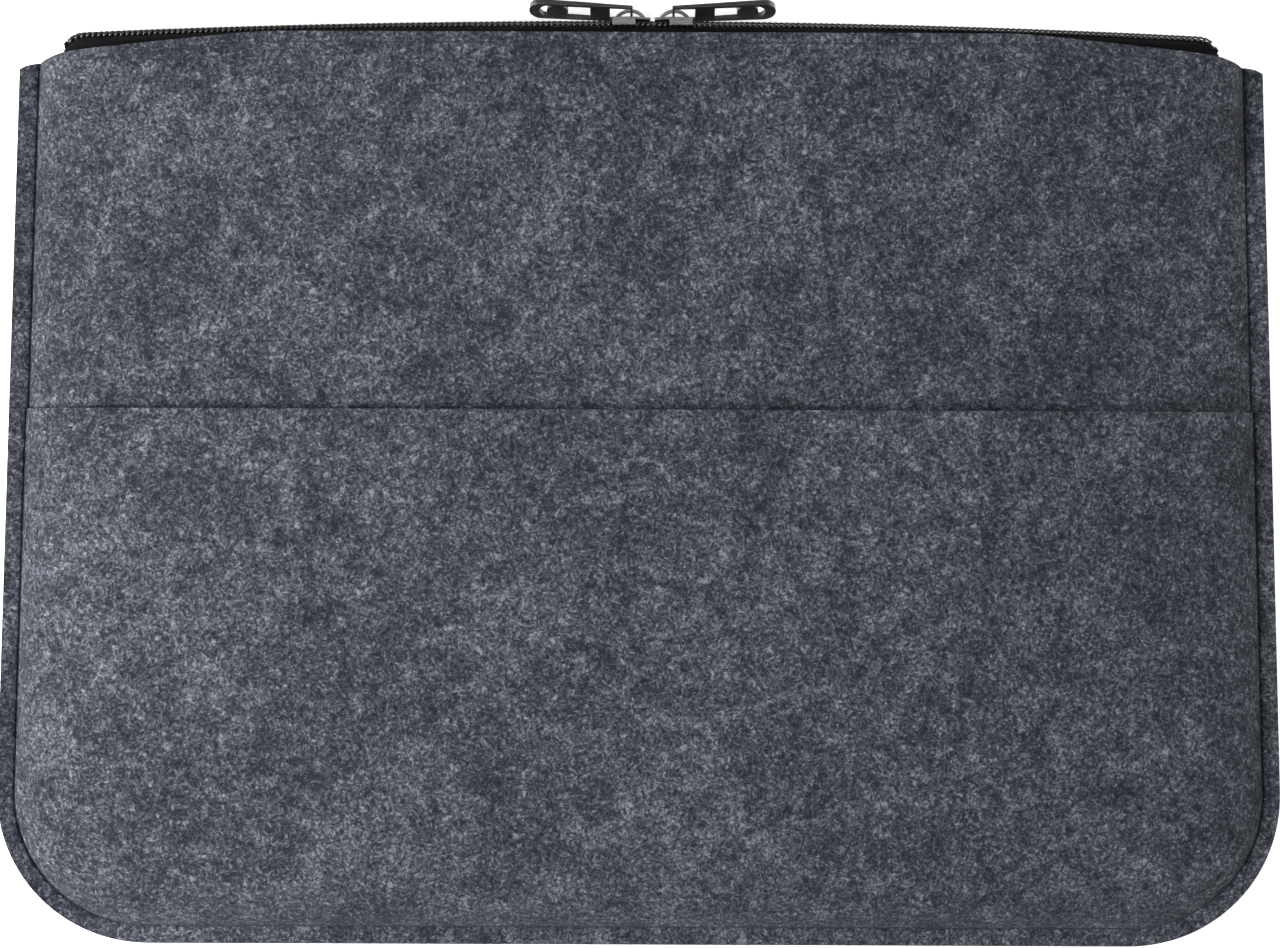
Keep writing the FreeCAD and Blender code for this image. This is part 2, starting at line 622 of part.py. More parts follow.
seam_line = inset("seam_line", open_outline, "sheet.seam_inset")
doc.recompute()
pitch = size("seam_pitch")
points = seam_line.Shape.Wires[0].discretize(Distance=pitch)
front_floor = sheet_value(f"{FLANGE} - sheet.groove_deep")
pocket_floor = sheet_value(f"{TOP_FLANGE} - sheet.groove_deep")
pocket_edge = sheet_value(POCKET_EDGE)
seam_end = mouth_height(size("corner_start")) - size("seam_stop")
upper_side, lower_side = [], []
for before, here, after in zip(points, points[1:], points[2:]):
    if here.y > seam_end:
        continue
    heading = after - before
    lower_side.append((Vector(here.x, here.y, size("groove_deep") - size("thread")), heading))
    if abs(here.y - pocket_edge) < pitch / 2:
        continue
    floor = front_floor if here.y > pocket_edge else pocket_floor
    upper_side.append((Vector(here.x, here.y, floor), heading))
stitch_row("perimeter_seam_needle_thread", upper_side, pitch)
stitch_row("perimeter_seam_bobbin_thread", lower_side, pitch)

zip_pitch = size("zip_seam_pitch")
count = int((size("chain_half") - zip_pitch) / zip_pitch)
zip_levels = {
    "zip_seam_front_needle_thread": (0, sheet_value(f"{OUTER_MOUTH} - sheet.groove_deep")),
    "zip_seam_front_bobbin_thread": (0, sheet_value(f"{MOUTH_TOP} - sheet.tape - sheet.thread")),
    "zip_seam_back_bobbin_thread": (size("back_edge_drop"), sheet_value(f"{TOP_OF_BACK} + sheet.tape")),
    "zip_seam_back_needle_thread": (size("back_edge_drop"), size("groove_deep") - size("thread")),
}
for name, (drop, level) in zip_levels.items():
    spots = []
    for index in range(-count, count + 1):
        x = index * zip_pitch
        heading = Vector(zip_pitch, mouth_height(x + zip_pitch / 2) - mouth_height(x - zip_pitch / 2), 0)
        spots.append((Vector(x, mouth_height(x) - drop - size("zip_seam_inset"), level), heading))
    stitch_row(name, spots, zip_pitch)


# ---------------------------------------------------------------- check and write

NODES = ["back_panel", "front_panel", "pocket_panel"]
for side in ("front", "back"):
    NODES += [f"zip_tape_{side}", f"zip_coil_{side}", f"coil_core_cord_{side}", f"coil_stitching_{side}"]
for side in ("left", "right"):
    NODES += [f"zip_end_tack_{side}", f"slider_body_{side}", f"pull_tab_{side}"]
NODES += ["perimeter_seam_needle_thread", "perimeter_seam_bobbin_thread", *zip_levels]

doc.recompute()
for made in doc.Objects:
    if {"Invalid", "Error"} & set(made.State):
        raise SystemExit(f"{made.Name} failed: {made.State}")
for name in NODES:
    shape = doc.getObject(name).Shape
    if shape.isNull() or not shape.isValid() or not shape.Solids:
        raise SystemExit(f"{name} has no valid solid")
for name in NODES:
    doc.getObject(name).Shape.exportStep(os.path.join(OUT, f"{name}.step"))
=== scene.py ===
"""Felt laptop sleeve lying on its back, with an outer pocket and a coil zip with two sliders.

X runs along the zip, +Y towards it, +Z from the back panel to the pocket. Metres throughout.
"""
import math

import bmesh
import bpy
from mathutils import Matrix, Vector


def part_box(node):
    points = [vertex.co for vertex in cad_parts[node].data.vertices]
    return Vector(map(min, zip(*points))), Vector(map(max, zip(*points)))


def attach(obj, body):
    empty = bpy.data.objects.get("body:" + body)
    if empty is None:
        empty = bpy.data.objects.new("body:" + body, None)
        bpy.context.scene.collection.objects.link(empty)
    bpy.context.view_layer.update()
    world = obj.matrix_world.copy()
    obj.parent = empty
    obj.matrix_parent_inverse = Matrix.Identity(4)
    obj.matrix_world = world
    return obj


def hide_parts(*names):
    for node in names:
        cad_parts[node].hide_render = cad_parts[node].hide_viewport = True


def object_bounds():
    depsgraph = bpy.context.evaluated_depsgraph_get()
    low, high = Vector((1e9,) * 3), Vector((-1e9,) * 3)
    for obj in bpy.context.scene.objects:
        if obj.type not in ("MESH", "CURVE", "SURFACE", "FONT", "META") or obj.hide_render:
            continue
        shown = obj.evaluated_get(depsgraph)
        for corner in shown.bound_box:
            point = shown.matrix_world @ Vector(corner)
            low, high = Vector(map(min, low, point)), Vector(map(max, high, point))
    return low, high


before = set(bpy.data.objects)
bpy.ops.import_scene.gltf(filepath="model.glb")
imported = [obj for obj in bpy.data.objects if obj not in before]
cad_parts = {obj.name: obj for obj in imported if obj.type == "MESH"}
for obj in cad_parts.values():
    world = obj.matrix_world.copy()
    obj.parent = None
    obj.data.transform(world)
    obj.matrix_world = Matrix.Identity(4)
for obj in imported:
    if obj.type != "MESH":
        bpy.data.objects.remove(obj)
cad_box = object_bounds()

MM = 0.001
scene = bpy.context.scene


# ---------------------------------------------------------------- table, window light and camera
# The sleeve lies on a sheet of white acrylic that is lit from below. A soft window lights it from
# close by on the left. A weaker one on the right, one overhead and the white room fill in the rest.

def new_material(name):
    """A material with its node tree and its Principled shader."""
    material = bpy.data.materials.new(name)
    material.use_nodes = True
    return material, material.node_tree, material.node_tree.nodes["Principled BSDF"]


def wire(tree, kind, sockets=(), **settings):
    """A new shader node. A socket is given a number, or the output that feeds it."""
    made = tree.nodes.new("ShaderNode" + kind)
    for setting, value in settings.items():
        setattr(made, setting, value)
    for socket, value in dict(sockets).items():
        if isinstance(value, bpy.types.NodeSocket):
            tree.links.new(value, made.inputs[socket])
        else:
            made.inputs[socket].default_value = value
    return made


def piece(name, bm, material, body):
    """A finished mesh as an object that rides on a body of the frame."""
    mesh = bpy.data.meshes.new(name)
    bm.to_mesh(mesh)
    bm.free()
    made = bpy.data.objects.new(name, mesh)
    scene.collection.objects.link(made)
    mesh.materials.append(material)
    if body:
        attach(made, body)
    return made


acrylic, tree, shader = new_material("white_acrylic")
place = wire(tree, "TexCoord").outputs["Object"]
grain = wire(tree, "TexNoise", {"Vector": place, "Scale": 40.0, "Detail": 4.0})
shade = wire(tree, "ValToRGB", {"Fac": grain.outputs["Fac"]})
shade.color_ramp.elements[0].color = (0.86, 0.86, 0.86, 1)
shade.color_ramp.elements[1].color = (0.92, 0.92, 0.92, 1)
tree.links.new(shade.outputs["Color"], shader.inputs["Base Color"])
shader.inputs["Roughness"].default_value = 0.6
shader.inputs["Emission Color"].default_value = (1.0, 1.0, 1.0, 1)
shader.inputs["Emission Strength"].default_value = 0.6
table_half = 6.0
table_clear = 0.2 * MM       # below the sleeve's lowest point
bm = bmesh.new()
bmesh.ops.create_grid(bm, x_segments=1, y_segments=1, size=table_half)
bmesh.ops.translate(bm, verts=bm.verts, vec=(0, 0, cad_box[0][2] - table_clear))
table = piece("table_top", bm, acrylic, None)


def soft_box(name, place, size, watts):
    """A square area light aimed at the middle of the sleeve."""
    light = bpy.data.lights.new(name, "AREA")
    light.size = size
    light.energy = watts
    made = bpy.data.objects.new(name, light)
    made.location = place
    made.rotation_euler = (-Vector(place)).to_track_quat("-Z", "Y").to_euler()
    scene.collection.objects.link(made)


soft_box("window", (-0.62, -0.12, 0.45), 0.32, 12.6)
soft_box("fill", (0.90, 0.05, 0.45), 0.5, 5.0)
soft_box("ceiling", (0.10, 0.60, 1.7), 1.2, 6.0)
room = bpy.data.worlds.new("white_room")
room.use_nodes = True
room.node_tree.nodes["Background"].inputs["Color"].default_value = (1.0, 1.0, 1.0, 1)
room.node_tree.nodes["Background"].inputs["Strength"].default_value = 0.2
scene.world = room
scene.view_settings.view_transform = "Standard"

eye_height = 0.644
seam_level = 4 * MM
seen_width = 0.3603          # how much is in view from side to side, at the seam's level
lens = bpy.data.cameras.new("eye")
lens.sensor_width = 36.0
lens.lens = lens.sensor_width * (eye_height - seam_level) / seen_width
lens.clip_start = 0.01
eye = bpy.data.objects.new("eye", lens)
eye.location = (0.1 * MM, 3.4 * MM, eye_height)
eye.rotation_euler = (0, 0, math.radians(0.22))
scene.collection.objects.link(eye)
scene.camera = eye


# ---------------------------------------------------------------- back panel
# Needled wool-blend felt, 2.5 mm thick, cut in one piece with raw edges. It lies flat on the
# table. Its sides lean in towards the zip and its two lower corners are cut to a large radius.

felt_low, felt_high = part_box("front_panel")
back_low, back_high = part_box("back_panel")
felt_thick = back_high.z - back_low.z
half_width = felt_high.x
closed_edge = felt_low.y
corner_radius = 42.2 * MM
side_lean = math.radians(1.6)
flat_half = 98 * MM          # half of the straight stretch of the zip edge
shoulder_radius = 150 * MM
shoulder_slope = math.radians(6)
fall_start = 160 * MM        # where the zip edge falls faster, towards the seam
fall_slope = math.radians(11.5)
corner_start = 171.5 * MM    # the raw corner beside the zip is worn round
corner_worn = 2.6 * MM
corner_wide = 4.8 * MM

zip_setback = 0.8 * MM       # the soft cut edge draws back from the chain
chain_half = 157 * MM
seam_inset = 5.2 * MM
groove_half = 0.5 * MM
groove_deep = 0.6 * MM
groove_soft = 0.5            # share of the half width at which the dip has mostly closed
zip_groove_deep = 0.22 * MM
zip_seam_inset = 3.0 * MM
strip_lift = 1.3 * MM        # the raw edges outside the seam stand up a little
cut_round = 0.45 * MM        # the raw cut is worn round along its corners

near_rows = [0, 0.4, 1.2, 2.4, 2.7, 3.0, 3.3, 3.6, 4.6, 6.0, 8.0]    # mm below the stitched top edge
settling = 4                 # passes to find where the leaning side meets the curved top edge
side_steps = 100
corner_steps = 28
bottom_steps = 132
rows = side_steps + corner_steps // 2
columns = corner_steps + bottom_steps
around = 2 * rows + columns
field_inset = 38 * MM        # inside this, the panel is one smooth field
wall_rings = 20
ring_crowding = 2.2          # the rings stand closer together towards the seam


def zip_edge(x, drop=0.0):
    """Height of a panel's zip edge at a distance from the middle."""
    out = abs(x) - flat_half
    bend = shoulder_radius * math.sin(shoulder_slope)
    top = felt_high.y - zip_setback - drop
    if out <= 0:
        return top
    if out <= bend:
        return top - shoulder_radius + math.sqrt(shoulder_radius ** 2 - out ** 2)
    fall = shoulder_radius * (1 - math.cos(shoulder_slope)) + (out - bend) * math.tan(shoulder_slope)
    past = max(abs(x) - fall_start, 0.0)
    worn = corner_worn * (max(abs(x) - corner_start, 0.0) / corner_wide) ** 2
    return top - fall - past * (math.tan(fall_slope) - math.tan(shoulder_slope)) - worn


def below_edge(step, side_long):
    """Distance of a row below a panel's top edge: close rows along its stitches, then even ones."""
    last = len(near_rows) - 1
    if step <= last:
        return near_rows[step] * MM
    close = near_rows[last] * MM
    return close + (side_long - close) * ((step - last) / (side_steps - last))


def cut_line(step, inset, top_edge):
    """The panel's cut line moved in by inset: down the left side, along the bottom, up the right."""
    if step > around / 2:
        mirrored = cut_line(around - step, inset, top_edge)
        return Vector((-mirrored.x, mirrored.y))
    radius = corner_radius - inset
    centre = Vector((corner_radius - half_width, closed_edge + corner_radius))
    turn = centre + Vector((-math.cos(side_lean), math.sin(side_lean))) * radius
    if step < side_steps:
        top = turn.copy()
        for _ in range(settling):
            top.y = top_edge(top.x)
            top.x = turn.x + (top.y - turn.y) * math.tan(side_lean)
        y = top.y - below_edge(step, top.y - turn.y)
        return Vector((turn.x + (y - turn.y) * math.tan(side_lean), y))
    if step <= side_steps + corner_steps:
        share = (step - side_steps) / corner_steps
        angle = math.pi - side_lean + share * (math.pi / 2 + side_lean)
        return centre + Vector((math.cos(angle), math.sin(angle))) * radius
    share = (step - side_steps - corner_steps) / (bottom_steps / 2)
    return Vector((centre.x * (1 - share), closed_edge + inset))


def ring_insets(trim):
    """Insets of the panel's rings, from its smooth field out to the cut edge."""
    foot = seam_inset + groove_half
    wall = [foot + (field_inset - foot) * (1 - ring / wall_rings) ** ring_crowding
            for ring in range(1, wall_rings)]
    groove = [seam_inset + groove_half * share for share in (1, 0.6, 0.25, 0, -0.25, -0.6, -1)]
    strip = [trim + (seam_inset - trim) * share for share in (0.75, 0.55, 0.35, 0.15, 0.04, 0)]
    return wall + groove + strip


def felt_sheet(top_edge, surface, faces_down=False, trim=0.0):
    """A panel's outer face: a grid over the field, then rings out to the cut edge."""
    bm = bmesh.new()
    step_of = bm.verts.layers.int.new("step")
    bmesh.ops.create_grid(bm, x_segments=columns, y_segments=rows, size=1.0)
    left = [cut_line(row, field_inset, top_edge) for row in range(rows + 1)]
    low = [cut_line(rows + column, field_inset, top_edge) for column in range(columns + 1)]
    for vert in bm.verts:
        column = round((vert.co.x + 1) / 2 * columns)
        row = round((1 - vert.co.y) / 2 * rows)
        u = (low[column].x - low[0].x) / (low[-1].x - low[0].x)
        v = (left[0].y - left[row].y) / (left[0].y - left[-1].y)
        right = Vector((-left[row].x, left[row].y))
        top_x = left[0].x * (1 - 2 * u)
        top = Vector((top_x, top_edge(top_x)))
        spot = top * (1 - v) + low[column] * v + left[row] * (1 - u) + right * u
        ends = [(left[0], (1 - u) * (1 - v)), (Vector((-left[0].x, left[0].y)), u * (1 - v)),
                (low[0], (1 - u) * v), (low[-1], u * v)]
        for end, share in ends:
            spot = spot - end * share
        vert.co = surface(spot.x, spot.y, field_inset)
        vert[step_of] = -1           # not on the field's outline
        if column == 0:
            vert[step_of] = row
        elif row == rows:
            vert[step_of] = rows + column
        elif column == columns:
            vert[step_of] = rows + columns + rows - row
    bm.edges.ensure_lookup_table()

    def on_ring(edge):
        first, second = (vert[step_of] for vert in edge.verts)
        return min(first, second) >= 0 and abs(first - second) == 1

    ring = [edge for edge in bm.edges if edge.is_boundary and on_ring(edge)]
    for inset in ring_insets(trim):
        grown = bmesh.ops.extrude_edge_only(bm, edges=ring)["geom"]
        for vert in (part for part in grown if isinstance(part, bmesh.types.BMVert)):
            spot = cut_line(vert[step_of], inset, top_edge)
            vert.co = surface(spot.x, spot.y, inset)
        ring = [part for part in grown if isinstance(part, bmesh.types.BMEdge) and on_ring(part)]
    bmesh.ops.recalc_face_normals(bm, faces=bm.faces)
    facing = sum(face.normal.z for face in bm.faces)
    if (facing > 0) == faces_down:
        bmesh.ops.reverse_faces(bm, faces=bm.faces)
    for face in bm.faces:
        face.smooth = True
    return bm


def felt_thickness(made):
    """Gives a panel its thickness, behind its outer face, and softens the raw cut."""
    depth = made.modifiers.new("thickness", "SOLIDIFY")
    depth.thickness = felt_thick
    depth.offset = -1
    depth.use_quality_normals = True
    soft = made.modifiers.new("soft_cut", "BEVEL")
    soft.width = cut_round
    soft.segments = 3
    soft.limit_method = "ANGLE"
    soft.angle_limit = math.radians(65)


def felt_finish(name):
    """Melange felt: crossing fibres of dark and light wool, drifting in depth from place to place."""
    material, tree, shader = new_material(name)
    place = wire(tree, "TexCoord").outputs["Object"]
    drift = wire(tree, "TexNoise", {"Vector": place, "Scale": 260.0, "Detail": 2.0})
    centred = wire(tree, "VectorMath", {0: drift.outputs["Color"], 1: (0.5, 0.5, 0.5)}, operation="SUBTRACT")
    bent = wire(tree, "VectorMath", {0: centred.outputs[0], 1: (3.0 * MM,) * 3, 2: place},
                operation="MULTIPLY_ADD").outputs[0]
    total = None
    for turn in (15, 62, 108, 151):
        lay = wire(tree, "Mapping", {"Vector": bent, "Rotation": (0, 0, math.radians(turn)),
                                     "Scale": (2.6 * MM, 0.62 * MM, 0.9 * MM)}, vector_type="TEXTURE")
        fibres = wire(tree, "TexNoise", {"Vector": lay.outputs[0], "Scale": 1.0, "Detail": 2.5,
                                         "Roughness": 0.6}).outputs["Fac"]
        total = fibres if total is None else wire(tree, "Math", {0: total, 1: fibres}).outputs[0]
    blotch = wire(tree, "TexNoise", {"Vector": place, "Scale": 150.0, "Detail": 3.0, "Roughness": 0.6})
    cloud = wire(tree, "TexNoise", {"Vector": place, "Scale": 38.0, "Detail": 2.0})
    mottled = wire(tree, "Math", {0: blotch.outputs["Fac"], 1: 0.60, 2: total}, operation="MULTIPLY_ADD")
    mixed = wire(tree, "Math", {0: cloud.outputs["Fac"], 1: 0.34, 2: mottled.outputs[0]},
                 operation="MULTIPLY_ADD").outputs[0]
    shade = wire(tree, "MapRange", {"Value": mixed, "From Min": 1.98, "From Max": 2.96})
    tint = wire(tree, "ValToRGB", {"Fac": shade.outputs[0]})
    ramp = tint.color_ramp
    ramp.elements[0].color = (0.006, 0.007, 0.011, 1)
    ramp.elements[1].color = (0.178, 0.186, 0.210, 1)
    for at, colour in ((0.3, (0.015, 0.017, 0.023, 1)), (0.5, (0.034, 0.037, 0.047, 1)),
                       (0.7, (0.070, 0.075, 0.090, 1))):
        ramp.elements.new(at).color = colour
    tree.links.new(tint.outputs["Color"], shader.inputs["Base Color"])
    raised = wire(tree, "Bump", {"Height": mixed, "Strength": 0.5, "Distance": 0.4 * MM})
    tree.links.new(raised.outputs[0], shader.inputs["Normal"])
    shader.inputs["Roughness"].default_value = 0.92
    shader.inputs["Specular IOR Level"].default_value = 0.15
    shader.inputs["Sheen Weight"].default_value = 0.12
    shader.inputs["Sheen Roughness"].default_value = 0.5
    shader.inputs["Sheen Tint"].default_value = (0.72, 0.76, 0.88, 1)
    return material


felt = felt_finish("melange_felt")
back_drop = felt_high.y - back_high.y


def back_edge(x):
    return zip_edge(x, back_drop)


def groove(distance, deep):
    """How deep a row of stitches pulls the felt in, at a distance from the row."""
    return deep * math.exp(-(distance / (groove_soft * groove_half)) ** 2)


def strip_rise(inset):
    """How far the layers outside the seam stand up."""
    return strip_lift * max(1 - inset / seam_inset, 0.0)


def zip_groove(x, y, edge):
    """The zip's own row of stitches, in a panel's zip edge."""
    return groove(edge(x) - y - zip_seam_inset, zip_groove_deep) if abs(x) < chain_half else 0.0


def back_face(x, y, inset):
    pulled = groove(inset - seam_inset, groove_deep) + zip_groove(x, y, back_edge)
    return Vector((x, y, back_low.z + pulled + strip_rise(inset)))


back_panel = piece("back_felt", felt_sheet(back_edge, back_face, faces_down=True), felt, "sleeve")
felt_thickness(back_panel)
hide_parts("back_panel")


# ---------------------------------------------------------------- front panel
# The same felt, cut fuller than the back and sewn flat to it along its edge. Behind the seam it
# rises, steeply at first, and it runs over the sleeve in a shallow crown, down again to the zip.

flange_top = 2 * felt_thick
wall_foot = seam_inset + groove_half
wall_share = 0.26            # this much of the rise stands close behind the seam
wall_soft = 4 * MM
slope_soft = 26 * MM         # the rest is a long slope, shorter near the zip
slope_soft_at_zip = 6 * MM
zip_reach = 25 * MM          # how far from the zip that holds
mouth_level = flange_top + 10 * MM
crown_rise = 1.8 * MM
crown_soft = 12 * MM
belly = 1.6 * MM             # the crown stands this much higher in the middle


def front_face(x, y, inset):
    """The front's outer face. Inset is the distance from the sewn edges."""
    back_of_seam = max(inset - wall_foot, 0.0)
    from_zip = max(zip_edge(x) - y, 0.0)
    slope = slope_soft + (slope_soft_at_zip - slope_soft) * math.exp(-(from_zip / zip_reach) ** 2)
    rise = 1 - wall_share * math.exp(-back_of_seam / wall_soft)
    rise -= (1 - wall_share) * math.exp(-back_of_seam / slope)
    wall = (mouth_level - flange_top) * rise
    crown = crown_rise * (1 - math.exp(-back_of_seam / crown_soft)) * (1 - math.exp(-from_zip / crown_soft))
    middle = (felt_high.y + closed_edge) / 2
    along = max(1 - (x / half_width) ** 2, 0.0)
    up = max(1 - ((y - middle) / (felt_high.y - middle)) ** 2, 0.0)
    pulled = groove(inset - seam_inset, groove_deep)
    if inset > wall_foot:
        pulled += zip_groove(x, y, zip_edge)
    z = flange_top + wall + crown + belly * along * up + strip_rise(inset) - pulled
    return Vector((x, y, z))


def side_distance(x, y):
    """How far a point near the zip is from the cut line of the side."""
    turn = cut_line(side_steps, 0.0, zip_edge)
    side = abs(turn.x) - (y - turn.y) * math.tan(side_lean)
    return (side - abs(x)) * math.cos(side_lean)


def front_level(x, y):
    return front_face(x, y, side_distance(x, y)).z


front_panel = piece("front_felt", felt_sheet(zip_edge, front_face), felt, "sleeve")
felt_thickness(front_panel)
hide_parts("front_panel")


# ---------------------------------------------------------------- pocket panel
# A second layer of the felt over the lower part of the front, caught in the same seam. Its upper
# edge is a straight raw cut that stands a little off the front and leaves a thin dark gap.

pocket_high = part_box("pocket_panel")[1]
pocket_gap = 0.8 * MM
pocket_sag = 1.0 * MM        # the free edge stands off a little more in the middle
sag_reach = 30 * MM          # and closes again this far below it
pocket_trim = 0.7 * MM       # it is cut this much inside the other two layers


def pocket_edge(x):
    return pocket_high.y


def pocket_face(x, y, inset):
    under = front_face(x, y, inset)
    clear = 1 - math.exp(-max(inset - wall_foot, 0.0) / wall_soft)
    lower = math.exp(-(pocket_high.y - y) / sag_reach) * (1 - (x / half_width) ** 2)
    return under + Vector((0, 0, felt_thick + clear * (pocket_gap + pocket_sag * lower)))


pocket_panel = piece("pocket_felt", felt_sheet(pocket_edge, pocket_face, trim=pocket_trim), felt, "sleeve")
felt_thickness(pocket_panel)
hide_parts("pocket_panel")


# ---------------------------------------------------------------- perimeter seam
# One row of lockstitch in dark grey polyester thread, right round the three closed sides. The
# needle thread shows on the front and the pocket, the bobbin thread on the back.

stitch_thick = 0.42 * MM
stitch_wide = 0.46 * MM
# the dark ball at each needle hole is wider than the thread: partly thread, partly painted shade in the hole
hole_wide = 0.66 * MM
hole_long = 1.2              # of the gap between two stitches
hole_drop = 0.1 * MM
blunt_ends = 0.65            # below 1, a stitch is a rod with round ends more than a ball


def thread_finish(name, dark, light):
    """Two-ply twisted thread: the plies run slantwise round each stitch."""
    material, tree, shader = new_material(name)
    plies = wire(tree, "TexCoord").outputs["UV"]
    turned = wire(tree, "Mapping", {"Vector": plies, "Rotation": (0, 0, math.radians(30))})
    twist = wire(tree, "TexWave", {"Vector": turned.outputs[0], "Scale": 5.0, "Distortion": 1.2,
                                   "Detail": 2.0}).outputs["Fac"]
    tint = wire(tree, "ValToRGB", {"Fac": twist})
    tint.color_ramp.elements[0].color = (*dark, 1)
    tint.color_ramp.elements[1].color = (*light, 1)
    tree.links.new(tint.outputs["Color"], shader.inputs["Base Color"])
    raised = wire(tree, "Bump", {"Height": twist, "Strength": 0.6, "Distance": 0.08 * MM})
    tree.links.new(raised.outputs[0], shader.inputs["Normal"])
    shader.inputs["Roughness"].default_value = 0.6
    shader.inputs["Specular IOR Level"].default_value = 0.25
    return material


seam_thread = thread_finish("seam_thread", (0.012, 0.013, 0.018), (0.044, 0.048, 0.060))


def lay_stitch(verts, middle, heading, up, long, wide=stitch_wide, thick=stitch_thick):
    """Turns a small ball into a short round-ended run of thread, laid along its heading."""
    heading = heading.normalized()
    aside = up.cross(heading).normalized()
    over = heading.cross(aside)
    for vert in verts:
        blunt = math.copysign(0.5 * abs(2 * vert.co.z) ** blunt_ends, vert.co.z)
        vert.co = middle + aside * vert.co.x * wide + over * vert.co.y * thick + heading * blunt * long


ball_mesh = bpy.data.meshes.new("stitch_ball")
bm = bmesh.new()
bm.loops.layers.uv.new("thread")
bmesh.ops.create_uvsphere(bm, u_segments=8, v_segments=6, radius=0.5, calc_uvs=True)
bm.to_mesh(ball_mesh)
bm.free()


def stitch_row(node, stitches, long, material, gap=0.0, **size):
    """A row of stitches, each given by its middle, its heading and the way it faces.

    Across the gap to the next one, the thread goes down its hole in the felt. The ball of dark thread there
    is wider than the thread, so it is partly the thread and partly painted shade inside the needle hole.
    """
    bm = bmesh.new()
    bm.from_mesh(ball_mesh)
    ball = [len(bm.verts), len(bm.edges), len(bm.faces)]
    wanted = len(stitches) * (2 if gap else 1)
    ready = 1
    while ready < wanted:
        more = min(ready, wanted - ready)
        copied = [part for parts, each in zip((bm.verts, bm.edges, bm.faces), ball)
                  for part in list(parts)[:each * more]]
        bmesh.ops.duplicate(bm, geom=copied)
        ready += more
    verts = list(bm.verts)
    assert len(verts) == wanted * ball[0]
    balls = [verts[start:start + ball[0]] for start in range(0, len(verts), ball[0])]
    for middle, heading, up in stitches:
        lay_stitch(balls.pop(), middle, heading, up, long, **size)
        if gap:
            # a wider ball of dark thread at the hole: the thread going down, and painted shade inside the
            # needle hole
            down_hole = middle + heading.normalized() * (long + gap) / 2 - up * hole_drop
            lay_stitch(balls.pop(), down_hole, heading, up, hole_long * gap, wide=hole_wide)
    for face in bm.faces:
        face.smooth = True
    made = piece(node.replace("_thread", "") + "_stitches", bm, material, "sleeve")
    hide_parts(node)
    return made


seam_pitch = 3.8 * MM
seam_gap = 0.7 * MM
seam_stop = zip_edge(fall_start) - 2.5 * MM    # the row ends just below the zip edge
front_proud = 0.08 * MM      # how far the middle of a stitch stands off the front felt
back_proud = 0.02 * MM


def walk(points, pitch):
    """Points at equal distances along a line, each with its heading."""
    spots, carried = [], 0.0
    for start, end in zip(points, points[1:]):
        run = (end - start).length
        while carried <= run:
            spots.append((start + (end - start) * (carried / run), end - start))
            carried += pitch
        carried -= run
    return spots


seam_line = [cut_line(step, seam_inset, zip_edge) for step in range(around + 1)]
needle, bobbin = [], []
for spot, heading in walk(seam_line, seam_pitch):
    if spot.y > seam_stop:
        continue
    heading = heading.to_3d()
    under = back_face(*spot, seam_inset) - Vector((0, 0, back_proud))
    bobbin.append((under, heading, Vector((0, 0, -1))))
    if abs(spot.y - pocket_high.y) < seam_pitch / 2:
        continue
    face = pocket_face if spot.y < pocket_high.y else front_face
    needle.append((face(*spot, seam_inset) + Vector((0, 0, front_proud)), heading, Vector((0, 0, 1))))
for name, stitches in (("perimeter_seam_needle_thread", needle), ("perimeter_seam_bobbin_thread", bobbin)):
    made = stitch_row(name, stitches, seam_pitch - seam_gap, seam_thread, gap=seam_gap)


# ---------------------------------------------------------------- zip tapes
# Two narrow tapes of black woven polyester. Each carries half of the chain along one edge, and
# its other edge is turned down against the inner face of a panel and sewn to it.

arc_radius = 3300 * MM
chain_y = felt_high.y + 0.95 * MM
chain_z = felt_thick + 5 * MM
chain_roll = math.radians(8)
arc_centre = Vector((0, chain_y - arc_radius, 0))
out_of_chain = Vector((0, math.cos(chain_roll), -math.sin(chain_roll)))
to_front = Vector((0, math.sin(chain_roll), math.cos(chain_roll)))

chain_reach = 161 * MM       # the last turns and the end tacks dive into the corners
dive_from = 154 * MM
dive_deep = 3.2 * MM


def dive(along):
    """How far the chain has sunk between the panels at a distance along it."""
    return dive_deep * (max(abs(along) - dive_from, 0.0) / (chain_reach - dive_from)) ** 3


def on_chain(along, out, across):
    """A point at a distance along the chain, out of its face, and across it to the front."""
    middle = Vector((0, chain_y, chain_z)) + out_of_chain * (out - dive(along)) + to_front * across
    return arc_centre + Matrix.Rotation(-along / arc_radius, 3, "Z") @ (middle - arc_centre)


def tape_finish():
    """Fine twill, woven in narrow chevrons along the tape."""
    material, tree, shader = new_material("woven_tape")
    plan = wire(tree, "TexCoord").outputs["UV"]
    waves = []
    for turn in (45, -45):
        turned = wire(tree, "Mapping", {"Vector": plan, "Rotation": (0, 0, math.radians(turn)),
                                        "Scale": (1 / (0.55 * MM),) * 3})
        waves.append(wire(tree, "TexWave", {"Vector": turned.outputs[0], "Scale": 0.32,
                                            "Distortion": 0.6, "Detail": 1.0}).outputs["Fac"])
    weave = wire(tree, "Math", {0: waves[0], 1: waves[1]}, operation="MULTIPLY").outputs[0]
    tint = wire(tree, "ValToRGB", {"Fac": weave})
    tint.color_ramp.elements[0].color = (0.002, 0.002, 0.003, 1)
    tint.color_ramp.elements[1].color = (0.009, 0.009, 0.010, 1)
    tree.links.new(tint.outputs["Color"], shader.inputs["Base Color"])
    raised = wire(tree, "Bump", {"Height": weave, "Strength": 0.5, "Distance": 0.1 * MM})
    tree.links.new(raised.outputs[0], shader.inputs["Normal"])
    shader.inputs["Roughness"].default_value = 0.85
    shader.inputs["Specular IOR Level"].default_value = 0.1
    return material


woven_tape = tape_finish()
tape_thick = 0.35 * MM
tape_flap = 13 * MM
parting = 0.45 * MM
mouth_half = 5 * MM
tape_flat = [parting, 1.5 * MM, 2.7 * MM]    # across the chain, as far as the fold
